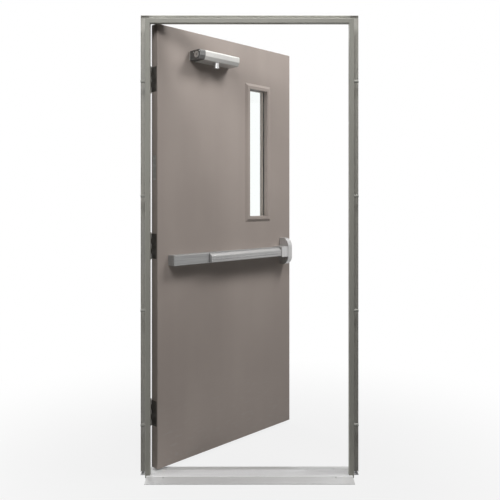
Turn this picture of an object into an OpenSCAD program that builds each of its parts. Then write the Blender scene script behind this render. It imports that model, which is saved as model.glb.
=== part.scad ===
// Hollow metal fire rated door leaf in a pressed steel frame, with a surface closer and a push bar.
// Millimetres. X runs along the wall, Y points to the side the leaf swings to, Z is up.
// The origin is in the middle of the threshold's underside, at floor level.

/* [Opening] */
// Width between the jamb rabbets
opening_w = 914.4; // [760:0.1:1220]
// Height from the floor to the head rabbet
opening_h = 2032; // [1950:1:2440]
// Angle by which the leaf stands open
leaf_open_deg = 45; // [0:0.1:90]

/* [Frame] */
// Thickness of the pressed frame sheet
frame_sheet = 1.5; // [1.2:0.1:2.5]
// Inner radius of the frame's bends
frame_bend_r = 1; // [0.5:0.1:2]
// Width of the frame face on the pull side
frame_face_w = 36; // [30:1:60]
// Depth of the return behind the frame face
frame_backbend = 12; // [8:1:20]
// Height of the stop above the rabbet
stop_h = 15.5; // [12:0.5:20]
// Depth of the stop
stop_d = 26; // [20:1:50]
// Place of the stop's face from the middle of the threshold
stop_face_y = 1; // [-8:0.5:8]
// Width of the nose on the push side
nose_w = 21.5; // [18:0.5:30]
// Depth of the return behind the nose
nose_return = 10; // [6:1:14]
// Width of the hairline at the mitred corners
mitre_gap = 0.3; // [0.2:0.1:1]
// Distance by which the mitre cuts run on past the frame's edges
mitre_reach = 5; // [2:1:10]

/* [Anchors] */
// Radius of the anchor holes in the stop
anchor_hole_r = 5; // [3:0.5:6]
// Number of anchor holes in a jamb
anchor_count = 4; // [3:1:6]
// Height of the lowest anchor holes above the floor
anchor_low_z = 230; // [150:5:400]
// Distance from the head rabbet down to the highest anchor holes
anchor_high_drop = 272; // [150:1:400]
// Wall of the tubes behind the anchor holes
sleeve_wall = 1.5; // [1:0.1:2]
// Distance by which the tubes reach past the rabbet
sleeve_reach = 28; // [20:1:40]
// Height of the angle in a jamb's foot
floor_anchor_h = 60; // [40:1:90]
// Width of the angle's lower leg
floor_anchor_w = 30; // [24:1:34]
// Depth of the angle across the wall
floor_anchor_d = 37.5; // [30:0.5:42]
// Thickness of the angle
floor_anchor_t = 2; // [1.5:0.5:4]
// Radius of the holes in the angle
floor_anchor_hole_r = 4.5; // [3:0.5:6]
// Distance between the holes in the angle
floor_anchor_span = 20; // [14:1:26]

/* [Threshold] */
// Width of the threshold across the wall
sill_d = 176; // [120:1:220]
// Height of the threshold
sill_h = 12.7; // [8:0.1:14]
// Width of the fluted flat
sill_flat_d = 62; // [40:1:90]
// Height of the threshold's front and back edges
sill_edge_h = 3; // [2:0.5:5]
// Thickness of the threshold's metal
sill_wall = 3; // [2:0.5:4]
// Least height of the hollow at the threshold's edges
sill_edge_room = 0.2; // [0.1:0.1:1]
// Width of the legs under the threshold
sill_leg_w = 6; // [4:0.5:12]
// Gap between the threshold and the jambs
sill_gap = 1; // [0.5:0.1:3]
// Number of flutes along the flat
flute_count = 9; // [3:1:13]
// Width of a flute
flute_w = 2.4; // [1:0.1:4]
// Depth of a flute
flute_depth = 1; // [0.4:0.1:1.5]
// Radius of the threshold's screw holes
sill_hole_r = 3.2; // [2:0.1:5]
// Distance from the rabbets to the threshold's screw holes
sill_hole_inset = 77.2; // [60:0.1:250]
// Distance between the threshold's screw holes across the wall
sill_hole_span = 86; // [76:1:100]

/* [Leaf] */
// Thickness of the leaf
leaf_t = 44.45; // [38:0.05:52]
// Gap between the leaf and the hinge jamb
hinge_gap = 5; // [3:0.1:7]
// Gap between the leaf and the strike jamb
lock_gap = 5.5; // [3:0.1:8]
// Gap between the leaf and the head rabbet
head_gap = 5; // [3:0.1:8]
// Height of the leaf's lower edge above the floor
floor_gap = 18; // [17.8:0.1:25]
// Gap between the closed leaf and the stop
stop_gap = 5; // [3:0.1:8]
// Distance by which the lock edge is bevelled across the leaf's thickness
lock_bevel = 2.8; // [0:0.1:4]
// Thickness of the face sheets
skin = 1.2; // [0.8:0.1:2]
// Inner radius of the face sheets' bends
skin_bend_r = 1; // [0.5:0.1:2]
// Width of the seam along the leaf's edges
seam_gap = 0.5; // [0.2:0.1:1]
// Gap between the core and the steel around it
core_fit = 0.5; // [0.45:0.05:0.8]
// Height of the channels along the top and bottom edges
edge_channel_h = 28; // [20:1:40]
// Thickness of the channels along the top and bottom edges
edge_channel_t = 1.5; // [1.2:0.1:2]

/* [Hinges] */
// Height of a hinge
hinge_h = 114.3; // [90:0.1:127]
// Width of a hinge leaf let into the edge
hinge_leaf_w = 38; // [30:1:41]
// Thickness of a hinge leaf
hinge_t = 3.4; // [2.5:0.1:4.6]
// Radius of the knuckles
knuckle_r = 7.2; // [6:0.1:8]
// Radius of the hinge pin
hinge_pin_r = 3.2; // [2.5:0.1:4]
// Running fit between the pin and the knuckles
hinge_pin_fit = 0.05; // [0.02:0.01:0.1]
// Gap between knuckles
knuckle_gap = 0.3; // [0.2:0.1:1]
// Distance of the pin's axis from the leaf's pull face
pin_offset = 9; // [8:0.5:12]
// Distance from the leaf's ends to the middle of the outer hinges
hinge_inset = 247; // [150:1:400]
// Clearance round a hinge leaf in its pocket
hinge_fit = 0.2; // [0.1:0.05:0.5]
// Thickness of the plates behind the hinges in the frame
hinge_plate_t = 6; // [5:0.5:9]
// Height of the plates behind the hinges in the frame
hinge_plate_h = 220; // [150:5:300]
// Gap between those plates and the frame's bends
hinge_plate_gap = 3; // [2.5:0.5:6]
// Height of the straight part of a hinge's end caps
hinge_cap_h = 3; // [2:0.5:5]
// Height of the bevel on a hinge's end caps
hinge_tip_h = 2; // [1:0.5:4]

/* [Vision panel] */
// Width of the visible glass
lite_w = 130; // [80:1:200]
// Distance from the lock edge to the visible glass
lite_inset = 189; // [150:1:260]
// Distance from the bar's middle up to the visible glass
lite_bar_gap = 191; // [150:1:300]
// Distance from the leaf's top down to the visible glass
lite_drop = 221; // [150:1:300]
// Width of the glazing frame round the glass
lite_border = 28; // [22:1:40]
// Width of the flat part of the glazing frame
lite_flat = 15; // [8:1:20]
// Height of the glazing frame above the leaf
lite_rise = 7; // [3:0.5:10]
// Thickness of the glazing frame's sleeve
lite_sleeve_t = 1.5; // [1:0.1:3]
// Distance by which the cut in the leaf is larger than the glass each side
lite_cut = 17; // [12:1:20]
// Distance by which the glass runs on behind the frame
glass_bite = 14; // [8:1:16]
// Thickness of the glass
glass_t = 8; // [5:0.5:12]
// Thickness of the glazing tape
tape_t = 2; // [1:0.5:3]
// Width of the glazing tape
tape_w = 6; // [4:1:8]

/* [Closer] */
// Distance from the hinge edge to the closer
closer_inset = 186; // [120:1:250]
// Length of the closer
closer_l = 253; // [220:1:300]
// Height of the closer's cover
closer_h = 46; // [44:1:70]
// Depth of the closer
closer_d = 78; // [66:1:90]
// Distance from the leaf's top down to the closer's middle
closer_drop = 116; // [90:1:150]
// Distance from the closer's left end to its cover
cover_inset = 34; // [20:1:50]
// Depth of the slope under the cover's front
slope_d = 10; // [6:1:16]
// Height of that slope
slope_h = 17; // [10:1:20]
// Thickness of the closer's cover
closer_sheet = 2; // [1:0.5:3]
// Inner radius of the cover's bends
closer_bend_r = 6; // [2:0.5:10]
// Gap between the cover and the closer's body
closer_gap = 0.5; // [0.3:0.1:2]
// Gap between the front of the body's cylinder and the cover
closer_front_gap = 3; // [2:0.5:8]
// Distance by which the body's open end stands back from the cover's faces
closer_step = 1; // [0.5:0.5:3]
// Distance by which the body ends inside the cover's right end
closer_recess = 5; // [4:1:12]
// Thickness of the closer's base
closer_base_t = 5; // [3:0.5:8]
// Height of the body between its cylinder and the base
closer_neck_h = 34; // [26:1:38]
// Radius of the closer's end plugs
closer_plug_r = 15; // [10:0.5:17]
// Thickness of the closer's end plugs
closer_plug_t = 3; // [2:0.5:4]
// Radius of the socket in an end plug
closer_socket_r = 5; // [3:0.5:7]
// Distance from the closer's left end to its spindle
spindle_inset = 124; // [60:1:180]
// Radius of the cap on the spindle
spindle_cap_r = 13; // [8:0.5:14]
// Height of the cap on the spindle
spindle_cap_h = 29; // [12:1:36]
// Radius of the spindle
spindle_r = 7; // [5:0.5:9]
// Running fit of the spindle in the body
spindle_fit = 0.05; // [0.02:0.01:0.1]
// Gap between the cover and the cap on the spindle
spindle_cap_gap = 1; // [0.5:0.1:3]
// Width of the square on the spindle's upper end
spindle_square_w = 9; // [6:0.5:9.5]
// Height of the square on the spindle's upper end
spindle_square_h = 4; // [2:0.5:8]

/* [Push bar] */
// Height of the bar's middle above the floor
bar_z = 956; // [900:1:1030]
// Distance from the hinge edge to the bar
bar_inset = 61; // [35:1:120]
// Distance from the lock edge to the latch case
bar_backset = 56; // [50:1:100]
// Length of the fixed part of the bar with its end cap
bar_cover_l = 208; // [100:1:400]
// Height of the bar
bar_h = 48; // [44:1:54]
// Depth of the fixed part of the bar
bar_d = 46; // [40:1:56]
// Radius of the bar's long front edges
bar_edge_r = 2.5; // [1:0.5:4]
// Length of the end cap
end_cap_l = 9; // [6:1:14]
// Radius of the end cap's corner towards the hinges
end_cap_r = 7; // [2:1:12]
// Depth of the rail's sides
rail_d = 43; // [36:1:52]
// Thickness of the rail
rail_t = 2; // [1.5:0.5:3]
// Inner radius of the rail's bends
rail_bend_r = 1; // [0.5:0.5:3]
// Distance by which the rail runs into the latch case
rail_overlap = 16; // [6:1:24]
// Depth of the fixed cover's legs inside the rail
cover_leg_l = 10; // [5:1:20]
// Thickness of the fixed cover's legs
cover_leg_t = 2; // [1:0.5:3]
// Gap between those legs and the rail's sides
cover_fit = 0.3; // [0.2:0.1:0.8]

/* [Push pad] */
// Height of the pad
pad_h = 33.5; // [28:0.5:34]
// Distance by which the pad stands ahead of the fixed part
pad_proud = 16; // [13:0.5:22]
// Gap between the pad and what is fixed beside it
pad_gap = 5; // [5:0.5:8]
// Travel of the pad
pad_travel = 12; // [6:0.5:14]
// Gap behind the pressed pad
pad_stop_gap = 6; // [5:0.5:10]
// Wall of the pad
pad_wall = 2.5; // [2:0.5:4]
// Distance from the middle of the pad to its grooves
groove_z = 5.5; // [3:0.5:9]
// Width of a groove
groove_w = 2.2; // [1:0.2:4]
// Depth of a groove
groove_depth = 1.2; // [0.5:0.1:1.5]
// Height of the guide inside the rail
guide_h = 18; // [14:1:20]
// Depth of the guide
guide_d = 36; // [30:1:40]
// Thickness of the guide
guide_t = 2.5; // [2:0.5:4]
// Distance from the pad's ends to the guide's ends
guide_inset = 10; // [8:1:60]
// Radius of the rods that guide the pad
rod_r = 4; // [3:0.5:5]
// Running fit of the rods in the guide
rod_fit = 0.08; // [0.02:0.01:0.1]
// Number of rods
rod_count = 3; // [2:1:4]

/* [Latch case] */
// Length of the latch case along the bar
case_l = 78; // [60:1:90]
// Height of the latch case's middle band
case_band_h = 55; // [48:1:64]
// Distance by which the middle band stands back from the tall part
band_back = 3; // [1:0.5:6]
// Length of the tall part of the latch case
hood_l = 30; // [24:1:60]
// Height of the tall part of the latch case
hood_h = 143; // [120:1:180]
// Depth of the latch case
case_d = 64; // [56:1:72]
// Radius of the tall part's round ends
hood_r = 44; // [30:1:44]
// Wall of the latch case
case_wall = 2.5; // [1.5:0.5:4]
// Gap round the rail where it enters the latch case
rail_gap = 0.5; // [0.4:0.1:1]
// Thickness of the latch case's base
case_base_t = 3; // [2:0.5:5]
// Gap between the base and the case
case_base_gap = 0.3; // [0.2:0.1:1]
// Distance by which the latch stands out of the case
latch_throw = 24; // [14:1:26]
// Length of the latch inside the case
latch_tail = 20; // [14:1:30]
// Thickness of the latch's nose
latch_nose_t = 6; // [3:0.5:12]
// Height of the latch
latch_h = 50; // [30:1:56]
// Depth of the latch
latch_d = 30; // [20:1:34]
// Distance of the latch from the leaf's face
latch_rise = 12; // [8:1:16]
// Running clearance round the latch
latch_fit = 0.6; // [0.4:0.1:1]

/* [Hidden] */

$fn = 64;
// Overlap of a cut past the face that it starts from
cut = 1;
bend_steps = 4;

// Places across the wall
push_y = stop_face_y + stop_gap;
pull_y = push_y + leaf_t;
mid_y = (push_y + pull_y) / 2;
nose_y = stop_face_y - stop_d;

// Places along the wall, with the leaf closed
rabbet_x = opening_w / 2;
hinge_edge_x = -rabbet_x + hinge_gap;
lock_edge_x = rabbet_x - lock_gap;
pin_x = -rabbet_x + hinge_gap / 2;
pin_y = pull_y + pin_offset;

// Heights
leaf_top = opening_h - head_gap;
hinge_zs = [leaf_top - hinge_inset, (leaf_top + floor_gap) / 2, floor_gap + hinge_inset];
anchor_pitch = (opening_h - anchor_high_drop - anchor_low_z) / (anchor_count - 1);
anchor_zs = [for (i = [0:anchor_count - 1]) anchor_low_z + i * anchor_pitch];
// Middle of the room between the stop's face and the nose's return
anchor_y = (nose_y + nose_return + stop_face_y - frame_sheet) / 2;

// Vision panel
lite_x = lock_edge_x - lite_inset - lite_w / 2;
lite_z = bar_z + lite_bar_gap;
lite_h = leaf_top - lite_drop - lite_z;
lite_mid_z = lite_z + lite_h / 2;

// Closer
closer_x = hinge_edge_x + closer_inset;
closer_z = leaf_top - closer_drop;
cylinder_r = closer_h / 2 - closer_sheet - closer_gap;
cylinder_d = closer_d - closer_sheet - closer_front_gap - cylinder_r;
body_l = closer_l - closer_recess;

// Push bar
bar_x = hinge_edge_x + bar_inset;
rail_x = bar_x + end_cap_l;
case_x = lock_edge_x - bar_backset - case_l;
pad_x = bar_x + bar_cover_l + pad_gap;
pad_l = case_x - pad_gap - pad_x;
pad_d = bar_d + pad_proud;
pad_back_d = rail_t + pad_stop_gap + pad_travel;
hood_arc_d = case_d - hood_r;
band_d = case_d - band_back;
hood_arc_z = hood_h / 2 - hood_r;

function unit(v) = v / norm(v);
function left_of(v) = [-v[1], v[0]];
function turned(v, a) = [v[0] * cos(a) - v[1] * sin(a), v[0] * sin(a) + v[1] * cos(a)];
function lock_x(y) = lock_edge_x - lock_bevel * (pull_y - y) / leaf_t;

// Arc of radius r at corner c, between the directions d0 and d1
function bend(c, d0, d1, r) =
    let (s = sign(d0[0] * d1[1] - d0[1] * d1[0]), a = acos(d0 * d1))
    let (centre = c - r * tan(a / 2) * d0 + s * r * left_of(d0))
    [for (i = [0:bend_steps]) centre - s * r * turned(left_of(d0), s * a * i / bend_steps)];

// One face of a sheet of thickness t bent along a path, at depth w inside it to the path's left
function sheet_side(path, t, r, w) =
    let (n = len(path), dirs = [for (i = [0:n - 2]) unit(path[i + 1] - path[i])])
    [for (i = [0:n - 1])
        each i == 0 ? [path[0] + w * left_of(dirs[0])]
            : i == n - 1 ? [path[i] + w * left_of(dirs[i - 1])]
            : let (d0 = dirs[i - 1], d1 = dirs[i])
              let (corner = path[i] + w / (1 + d0 * d1) * (left_of(d0) + left_of(d1)))
              let (folds_left = d0[0] * d1[1] - d0[1] * d1[0] > 0)
              bend(corner, d0, d1, folds_left ? r + t - w : r + w)];

function reversed(points) = [for (i = [len(points) - 1:-1:0]) points[i]];

// Section of a sheet bent along the path of its face, its thickness t to the path's left
module bent_sheet(path, t, r) {
    polygon(concat(sheet_side(path, t, r, 0), reversed(sheet_side(path, t, r, t))));
}

// Turns what is modelled with the leaf closed to where the leaf stands
module in_leaf() {
    translate([pin_x, pin_y, 0])
        rotate([0, 0, leaf_open_deg])
            translate([-pin_x, -pin_y, 0])
                children();
}

// Local X along the leaf, Y up and Z out of the push face
module on_push_face(x, z) {
    translate([x, push_y, z]) rotate([90, 0, 0]) children();
}

// Extrudes a section of depth and height along the leaf
module along_leaf(length) {
    mirror([1, 0, -1]) linear_extrude(length) children();
}

// Extrudes a section of Y and Z along X
module along_wall(x0, x1) {
    translate([x0, 0, 0]) rotate([90, 0, 90]) linear_extrude(x1 - x0) children();
}

frame_path = [
    [frame_face_w, pull_y - frame_backbend],
    [frame_face_w, pull_y],
    [0, pull_y],
    [0, stop_face_y],
    [-stop_h, stop_face_y],
    [-stop_h, nose_y],
    [nose_w - stop_h, nose_y],
    [nose_w - stop_h, nose_y + nose_return]
];

// Section of the frame: X away from the opening, Y across the wall
module frame_section() {
    bent_sheet(frame_path, frame_sheet, frame_bend_r);
}

// Strike-side jamb without its holes; the hinge side is its mirror image
module plain_jamb() {
    low = -stop_h - mitre_reach;
    high = frame_face_w + mitre_reach;
    difference() {
        translate([rabbet_x, 0, 0])
            linear_extrude(opening_h + frame_face_w)
                frame_section();
        // Mitre under the head
        translate([rabbet_x, pull_y + cut, opening_h - mitre_gap])
            rotate([90, 0, 0])
                linear_extrude(pull_y - nose_y + 2 * cut)
                    polygon([[low, low], [high, high], [low, high]]);
        // Anchor holes through the stop
        for (z = anchor_zs)
            translate([rabbet_x - stop_h - cut, anchor_y, z])
                rotate([0, 90, 0])
                    cylinder(r = anchor_hole_r, h = frame_sheet + 2 * cut);
    }
}

module strike_jamb() {
    color("gray") plain_jamb();
}

// Room for a hinge leaf in the frame, open towards the pull side
module frame_hinge_pocket(z) {
    depth = hinge_t + hinge_fit;
    translate([-rabbet_x - depth, pull_y - hinge_leaf_w - hinge_fit, z - hinge_h / 2 - hinge_fit])
        cube([depth + cut, hinge_leaf_w + hinge_fit + cut, hinge_h + 2 * hinge_fit]);
}

module hinge_jamb() {
    color("gray") difference() {
        mirror([1, 0, 0]) plain_jamb();
        for (z = hinge_zs) frame_hinge_pocket(z);
    }
}

module frame_head() {
    low = -stop_h - mitre_reach;
    high = frame_face_w + mitre_reach;
    depth = pull_y - nose_y + 2 * cut;
    color("gray") intersection() {
        translate([0, 0, opening_h])
            rotate([0, -90, 0])
                linear_extrude(opening_w + 2 * frame_face_w, center = true)
                    frame_section();
        // Mitres at both ends
        translate([0, pull_y + cut, opening_h])
            rotate([90, 0, 0])
                linear_extrude(depth)
                    polygon([[-rabbet_x - low, low], [-rabbet_x - high, high],
                             [rabbet_x + high, high], [rabbet_x + low, low]]);
    }
}

// Steel plates welded behind the hinge jamb, cut back for the hinge leaves
module hinge_backing_plates() {
    y0 = stop_face_y + hinge_plate_gap;
    y1 = pull_y - frame_sheet - hinge_plate_gap;
    color("dimgray") difference() {
        for (z = hinge_zs)
            translate([-rabbet_x - frame_sheet - hinge_plate_t, y0, z - hinge_plate_h / 2])
                cube([hinge_plate_t, y1 - y0, hinge_plate_h]);
        for (z = hinge_zs) frame_hinge_pocket(z);
    }
}

// Angle welded into the foot of a jamb, with two holes in its lower leg
module floor_anchor() {
    y = (stop_face_y + pull_y) / 2;
    x0 = rabbet_x + frame_sheet;
    y0 = y - floor_anchor_d / 2;
    difference() {
        union() {
            translate([x0, y0, 0]) cube([floor_anchor_w, floor_anchor_d, floor_anchor_t]);
            translate([x0, y0, 0]) cube([floor_anchor_t, floor_anchor_d, floor_anchor_h]);
        }
        for (s = [-1, 1])
            translate([x0 + floor_anchor_w / 2, y + s * floor_anchor_span / 2, -cut])
                cylinder(r = floor_anchor_hole_r, h = floor_anchor_t + 2 * cut);
    }
}

module right_floor_anchor() {
    color("dimgray") floor_anchor();
}

module left_floor_anchor() {
    color("dimgray") mirror([1, 0, 0]) floor_anchor();
}

// Tubes between the stop's holes and the wall
module anchor_sleeves() {
    x0 = rabbet_x - stop_h + frame_sheet;
    length = rabbet_x + sleeve_reach - x0;
    for (z = anchor_zs)
        translate([x0, anchor_y, z])
            rotate([0, 90, 0])
                difference() {
                    cylinder(r = anchor_hole_r + sleeve_wall, h = length);
                    translate([0, 0, -cut]) cylinder(r = anchor_hole_r, h = length + 2 * cut);
                }
}

module right_anchor_sleeves() {
    color("dimgray") anchor_sleeves();
}

module left_anchor_sleeves() {
    color("dimgray") mirror([1, 0, 0]) anchor_sleeves();
}

// Saddle threshold: a fluted flat between two slopes, on legs, cut round the stops
module threshold() {
    half = sill_d / 2;
    flat = sill_flat_d / 2;
    // Slope of the underside, parallel to the top at the wall's thickness
    inner_half = half - sill_leg_w;
    slope = (sill_h - sill_edge_h) / (half - flat);
    inner_edge_h = max(sill_edge_h + slope * sill_leg_w - sill_wall, sill_edge_room);
    pitch = sill_flat_d / flute_count;
    leg_ys = [-flat + sill_leg_w / 2, 0, flat - sill_leg_w / 2];
    color("silver") difference() {
        along_wall(-rabbet_x + sill_gap, rabbet_x - sill_gap)
            difference() {
                polygon([[-half, 0], [-half, sill_edge_h], [-flat, sill_h],
                         [flat, sill_h], [half, sill_edge_h], [half, 0]]);
                // Hollow underside between the legs
                difference() {
                    polygon([[-inner_half, -cut], [-inner_half, inner_edge_h],
                             [-flat, sill_h - sill_wall], [flat, sill_h - sill_wall],
                             [inner_half, inner_edge_h], [inner_half, -cut]]);
                    for (y = leg_ys)
                        translate([y - sill_leg_w / 2, -2 * cut]) square([sill_leg_w, sill_h]);
                }
                for (i = [0:flute_count - 1])
                    translate([-flat + (i + 0.5) * pitch - flute_w / 2, sill_h - flute_depth])
                        square([flute_w, sill_h]);
            }
        for (s = [-1, 1]) {
            // Notch round the stop
            translate([s * (rabbet_x - stop_h / 2), stop_face_y - stop_d / 2, sill_h / 2])
                cube([stop_h + 2 * sill_gap, stop_d + 2 * sill_gap, sill_h + 2 * cut], center = true);
            for (t = [-1, 1])
                translate([s * (rabbet_x - sill_hole_inset), t * sill_hole_span / 2, -cut])
                    cylinder(r = sill_hole_r, h = sill_h + 2 * cut);
        }
    }
}

// Hinges: five knuckles on one pin, three on the frame's leaf and two on the door's
knuckle_h = (hinge_h - 4 * knuckle_gap) / 5;

module hinge_leaf(on_frame) {
    side = on_frame ? -1 : 1;
    plate_x = side > 0 ? hinge_gap / 2 : -hinge_gap / 2 - hinge_t;
    difference() {
        union() {
            translate([plate_x, -pin_offset - hinge_leaf_w, -hinge_h / 2])
                cube([hinge_t, hinge_leaf_w, hinge_h]);
            for (i = [on_frame ? 0 : 1:2:4]) {
                translate([0, 0, -hinge_h / 2 + i * (knuckle_h + knuckle_gap)]) {
                    cylinder(r = knuckle_r, h = knuckle_h);
                    translate([plate_x, -pin_offset - cut, 0])
                        cube([hinge_t, pin_offset + cut, knuckle_h]);
                }
            }
        }
        translate([0, 0, -hinge_h / 2 - cut])
            cylinder(r = hinge_pin_r + hinge_pin_fit, h = hinge_h + 2 * cut);
    }
}

module hinge_pin() {
    cylinder(r = hinge_pin_r, h = hinge_h + 2 * cut, center = true);
    for (s = [-1, 1])
        translate([0, 0, s * hinge_h / 2])
            mirror([0, 0, s < 0 ? 1 : 0]) {
                cylinder(r = knuckle_r, h = hinge_cap_h);
                translate([0, 0, hinge_cap_h])
                    cylinder(r1 = knuckle_r, r2 = knuckle_r - hinge_tip_h, h = hinge_tip_h);
            }
}

module frame_hinge_leaf(i) {
    color("dimgray") translate([pin_x, pin_y, hinge_zs[i]]) hinge_leaf(true);
}

module door_hinge_leaf(i) {
    color("dimgray") in_leaf() translate([pin_x, pin_y, hinge_zs[i]]) hinge_leaf(false);
}

module frame_hinge_pin(i) {
    color("dimgray") translate([pin_x, pin_y, hinge_zs[i]]) hinge_pin();
}

// Room in the leaf's edge for the door's hinge leaves
module leaf_hinge_pockets() {
    depth = hinge_t + hinge_fit;
    for (z = hinge_zs)
        translate([hinge_edge_x - cut, pull_y - hinge_leaf_w - hinge_fit, z - hinge_h / 2 - hinge_fit])
            cube([depth + cut, hinge_leaf_w + hinge_fit + cut, hinge_h + 2 * hinge_fit]);
}

// Cut through the leaf for the vision panel
module leaf_lite_cut() {
    w = lite_w + 2 * lite_cut;
    h = lite_h + 2 * lite_cut;
    translate([lite_x - w / 2, push_y - cut, lite_mid_z - h / 2])
        cube([w, leaf_t + 2 * cut, h]);
}

// A face sheet bent back along both edges to the seam
module face_sheet(path) {
    difference() {
        translate([0, 0, floor_gap])
            linear_extrude(leaf_top - floor_gap)
                bent_sheet(path, skin, skin_bend_r);
        leaf_hinge_pockets();
        leaf_lite_cut();
    }
}

module push_face_sheet() {
    seam_y = mid_y - seam_gap / 2;
    color("tan") in_leaf()
        face_sheet([[hinge_edge_x, seam_y], [hinge_edge_x, push_y],
                    [lock_x(push_y), push_y], [lock_x(seam_y), seam_y]]);
}

module pull_face_sheet() {
    seam_y = mid_y + seam_gap / 2;
    color("tan") in_leaf()
        face_sheet([[lock_x(seam_y), seam_y], [lock_x(pull_y), pull_y],
                    [hinge_edge_x, pull_y], [hinge_edge_x, seam_y]]);
}

module fire_core() {
    inset = skin + core_fit;
    x0 = hinge_edge_x + inset;
    y0 = push_y + inset;
    y1 = pull_y - inset;
    z0 = floor_gap + edge_channel_h + core_fit;
    z1 = leaf_top - edge_channel_h - core_fit;
    color("beige") in_leaf() difference() {
        translate([0, 0, z0])
            linear_extrude(z1 - z0)
                polygon([[x0, y0], [lock_x(y0) - inset, y0], [lock_x(y1) - inset, y1], [x0, y1]]);
        leaf_hinge_pockets();
        leaf_lite_cut();
    }
}

// Channel between the face sheets, its web on top
module edge_channel(z) {
    y0 = push_y + skin;
    y1 = pull_y - skin;
    inset = skin + core_fit;
    color("tan") in_leaf()
        along_wall(hinge_edge_x + inset, lock_x(push_y) - inset)
            bent_sheet([[y1, z], [y1, z + edge_channel_h], [y0, z + edge_channel_h], [y0, z]],
                       edge_channel_t, skin_bend_r);
}

module top_channel() {
    edge_channel(leaf_top - edge_channel_h);
}

module bottom_channel() {
    edge_channel(floor_gap);
}

// Half of the glazing frame: a bevelled border on the leaf and a sleeve down to the glass
module lite_frame() {
    sleeve_depth = leaf_t / 2 - glass_t / 2 - tape_t;
    base_w = lite_w + 2 * lite_border;
    base_h = lite_h + 2 * lite_border;
    slope = lite_border - lite_flat;
    difference() {
        union() {
            intersection() {
                rotate([90, 0, 0])
                    linear_extrude(base_h, center = true)
                        polygon([[-base_w / 2, 0], [base_w / 2, 0],
                                 [base_w / 2 - slope, lite_rise], [-base_w / 2 + slope, lite_rise]]);
                rotate([90, 0, 90])
                    linear_extrude(base_w, center = true)
                        polygon([[-base_h / 2, 0], [base_h / 2, 0],
                                 [base_h / 2 - slope, lite_rise], [-base_h / 2 + slope, lite_rise]]);
            }
            translate([-lite_w / 2 - lite_sleeve_t, -lite_h / 2 - lite_sleeve_t, -sleeve_depth])
                cube([lite_w + 2 * lite_sleeve_t, lite_h + 2 * lite_sleeve_t, sleeve_depth + cut]);
        }
        translate([-lite_w / 2, -lite_h / 2, -sleeve_depth - cut])
            cube([lite_w, lite_h, sleeve_depth + lite_rise + 2 * cut]);
    }
}

module push_side_lite_frame() {
    color("tan") in_leaf() on_push_face(lite_x, lite_mid_z) lite_frame();
}

module pull_side_lite_frame() {
    color("tan") in_leaf()
        translate([lite_x, pull_y, lite_mid_z]) rotate([90, 0, 180]) lite_frame();
}

module lite_glass() {
    color("lightblue", 0.4) in_leaf()
        translate([lite_x, mid_y, lite_mid_z])
            cube([lite_w + 2 * glass_bite, glass_t, lite_h + 2 * glass_bite], center = true);
}

module glazing_tape() {
    color("dimgray") in_leaf()
        for (s = [-1, 1])
            translate([lite_x, mid_y + s * (glass_t + tape_t) / 2, lite_mid_z])
                difference() {
                    cube([lite_w + 2 * tape_w, tape_t, lite_h + 2 * tape_w], center = true);
                    cube([lite_w, tape_t + 2 * cut, lite_h], center = true);
                }
}

// Closer
// Outline of the cover from depth d0 out, round its front and back again
function closer_path(d0) = [
    [d0, -closer_h / 2],
    [closer_d - slope_d, -closer_h / 2],
    [closer_d, slope_h - closer_h / 2],
    [closer_d, closer_h / 2],
    [d0, closer_h / 2]
];

module closer_base() {
    color("silver") in_leaf() on_push_face(closer_x, closer_z)
        translate([0, -cylinder_r, 0]) cube([body_l, 2 * cylinder_r, closer_base_t]);
}

// A long cylinder on a neck, and at the left an end of the cover's outline
module closer_body() {
    color("silver") in_leaf() on_push_face(closer_x, closer_z)
        difference() {
            union() {
                along_leaf(body_l)
                    union() {
                        translate([cylinder_d, 0]) circle(r = cylinder_r);
                        translate([closer_base_t, -closer_neck_h / 2])
                            square([cylinder_d - closer_base_t, closer_neck_h]);
                    }
                along_leaf(cover_inset - closer_gap)
                    polygon(sheet_side(closer_path(closer_base_t), closer_sheet,
                                       closer_bend_r, closer_step));
            }
            translate([spindle_inset, cylinder_r + cut, cylinder_d])
                rotate([90, 0, 0])
                    cylinder(r = spindle_r + spindle_fit, h = 2 * cylinder_r + 2 * cut);
        }
}

module closer_cover() {
    color("silver") in_leaf() on_push_face(closer_x, closer_z)
        difference() {
            translate([cover_inset, 0, 0])
                along_leaf(closer_l - cover_inset)
                    bent_sheet(closer_path(0), closer_sheet, closer_bend_r);
            translate([spindle_inset, closer_h / 2 + cut, cylinder_d])
                rotate([90, 0, 0])
                    cylinder(r = spindle_cap_r + spindle_cap_gap, h = closer_h + 2 * cut);
        }
}

module closer_end_plugs() {
    color("gray") in_leaf() on_push_face(closer_x, closer_z)
        for (x = [-closer_plug_t, body_l])
            translate([x, 0, cylinder_d])
                rotate([0, 90, 0])
                    difference() {
                        cylinder(r = closer_plug_r, h = closer_plug_t);
                        translate([0, 0, -cut])
                            cylinder(r = closer_socket_r, h = closer_plug_t + 2 * cut);
                    }
}

// Spindle through the body, with a cap under it and a square end on top
module closer_spindle() {
    color("silver") in_leaf() on_push_face(closer_x, closer_z)
        translate([spindle_inset, 0, cylinder_d])
            rotate([-90, 0, 0]) {
                translate([0, 0, -cylinder_r - spindle_cap_h])
                    cylinder(r = spindle_cap_r, h = spindle_cap_h);
                translate([0, 0, -cylinder_r - cut])
                    cylinder(r = spindle_r, h = 2 * cylinder_r + 2 * cut);
                translate([-spindle_square_w / 2, -spindle_square_w / 2, cylinder_r])
                    cube([spindle_square_w, spindle_square_w, spindle_square_h]);
            }
}

// Push bar: a rail on the leaf, a cover in its hinge end, an end cap, and the pad on its guide

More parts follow.
